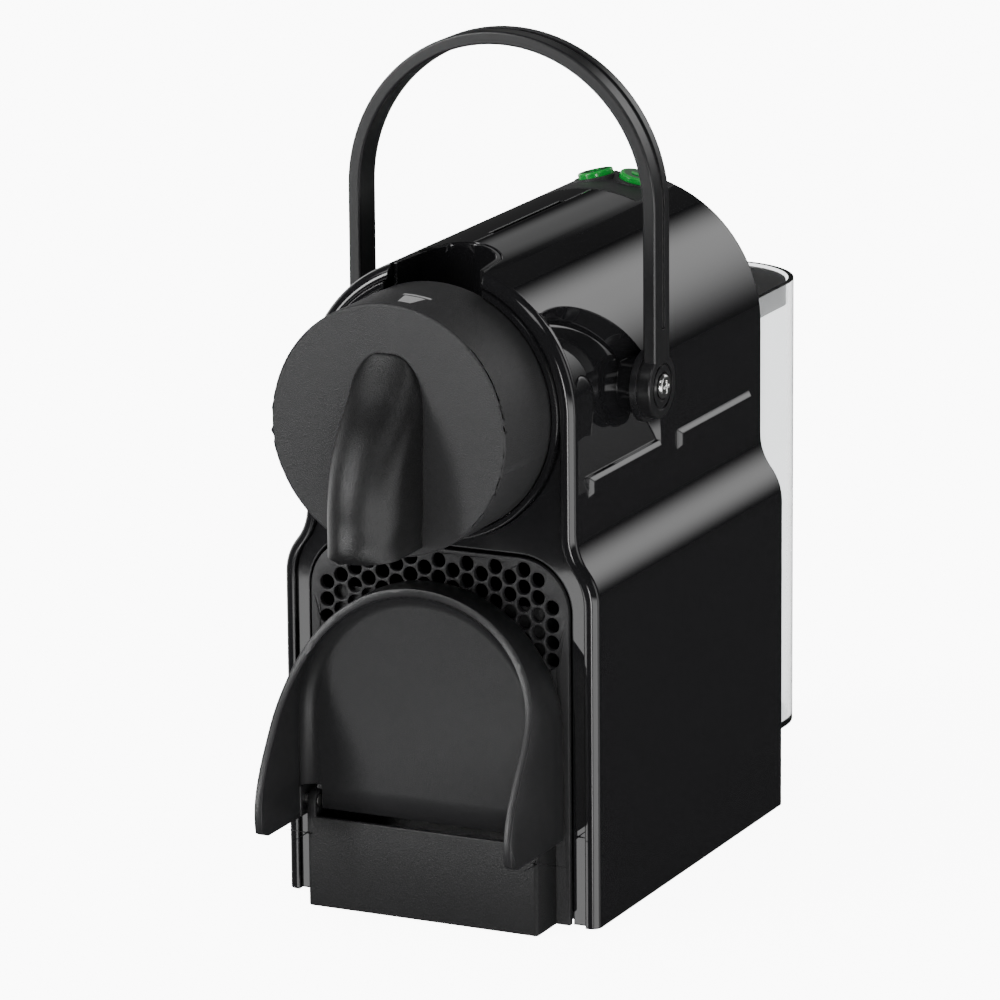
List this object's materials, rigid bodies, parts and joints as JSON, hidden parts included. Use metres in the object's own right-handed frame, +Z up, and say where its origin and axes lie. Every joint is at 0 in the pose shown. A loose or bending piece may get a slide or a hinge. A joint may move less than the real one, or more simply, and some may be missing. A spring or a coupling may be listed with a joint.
{
  "type": "capsule coffee machine",
  "caption": "Compact capsule coffee machine: black arched body, lift-up bail lever, disc head with spout, folding cup support, drip unit and rear water tank.",
  "frame": {"origin": "centre of the footprint of the stored pose on the table plane, under the rubber feet", "axes": "+X to the machine's left side as seen from the front (the right shell's side), -Y out of the front where the coffee runs out, +Z up"},
  "size_m": [0.12, 0.2888, 0.3003],
  "materials": {
    "gloss_black": "high gloss",
    "semi_gloss_black": "semi gloss",
    "satin_black": "fine grained satin",
    "rubber_black": "matte",
    "silicone": "milky, flexible",
    "steel": "brushed",
    "aluminium": "cast",
    "board_green": "solder mask",
    "clear_plastic": "clear, faintly smoked",
    "button_green": "translucent, back-lit",
    "inlay_green": "satin print"
  },
  "bodies": {
    "root": {"left_shell": "gloss_black", "right_shell": "gloss_black", "front_fascia": "gloss_black", "head_collar": "gloss_black", "slot_liner": "gloss_black", "rear_cover": "satin_black", "base_plate": "satin_black", "rubber_feet": "rubber_black", "head_shell": "satin_black", "outlet_cover": "satin_black", "outlet_duct": "satin_black", "brew_frame": "satin_black", "extraction_plate": "satin_black", "control_panel": "satin_black", "control_board": "board_green", "key_switches": "satin_black", "pump_body": "aluminium", "pump_coil": "satin_black", "pump_mounts": "rubber_black", "pump_cradle": "satin_black", "thermoblock": "aluminium", "thermostat": "steel", "chassis": "steel", "inlet_hose": "silicone", "pressure_hose": "silicone", "tank_valve_seat": "satin_black", "valve_seal": "rubber_black", "cord_gland": "rubber_black"},
    "lever": {"bail_handle": "semi_gloss_black", "lever_discs": "satin_black", "lever_screws": "steel", "left_crank": "steel", "right_crank": "steel"},
    "cage": {"capsule_cage": "satin_black", "cage_seal": "rubber_black", "piercing_blades": "steel", "slot_shutter": "satin_black"},
    "front_unit": {"grille_panel": "satin_black", "drip_tray": "satin_black", "hinge_pins": "steel", "capsule_bin": "satin_black", "waste_tray": "satin_black"},
    "support": {"cup_support": "satin_black", "drip_grid": "satin_black"},
    "tank": {"water_tank": "clear_plastic", "tank_valve": "satin_black"},
    "lid": {"tank_lid": "satin_black"},
    "espresso_key": {"espresso_button": "button_green", "espresso_button_inlay": "inlay_green"},
    "lungo_key": {"lungo_button": "button_green", "lungo_button_inlay": "inlay_green"}
  },
  "joints": [
    {"name": "lever_hinge", "type": "hinge", "parent": "root", "child": "lever", "pos_m": [0, -0.01819, 0.1797], "axis": [1, 0, 0], "range_deg": [0, 65]},
    {"name": "cage_slide", "type": "slide", "parent": "root", "child": "cage", "axis": [0, -1, 0], "range_m": [0, 0.0285]},
    {"name": "front_unit_slide", "type": "slide", "parent": "root", "child": "front_unit", "axis": [0, -1, 0], "range_m": [0, 0.12]},
    {"name": "support_hinge", "type": "hinge", "parent": "front_unit", "child": "support", "pos_m": [0, -0.08719, 0.038], "axis": [1, 0, 0], "range_deg": [0, 90]},
    {"name": "tank_lift", "type": "slide", "parent": "root", "child": "tank", "axis": [0, 0, 1], "range_m": [0, 0.06]},
    {"name": "lid_hinge", "type": "hinge", "parent": "tank", "child": "lid", "pos_m": [0, 0.08801, 0.1867], "axis": [1, 0, 0], "range_deg": [0, 85]},
    {"name": "espresso_press", "type": "slide", "parent": "root", "child": "espresso_key", "axis": [0.225, 0, -0.9744], "range_m": [0, 0.0015], "stiffness_N_per_m": 400},
    {"name": "lungo_press", "type": "slide", "parent": "root", "child": "lungo_key", "axis": [-0.225, 0, -0.9744], "range_m": [0, 0.0015], "stiffness_N_per_m": 400}
  ],
  "couplings": [
    {"joint": "cage_slide", "follows": "lever_hinge", "m_per_rad": 0.02463}
  ]
}
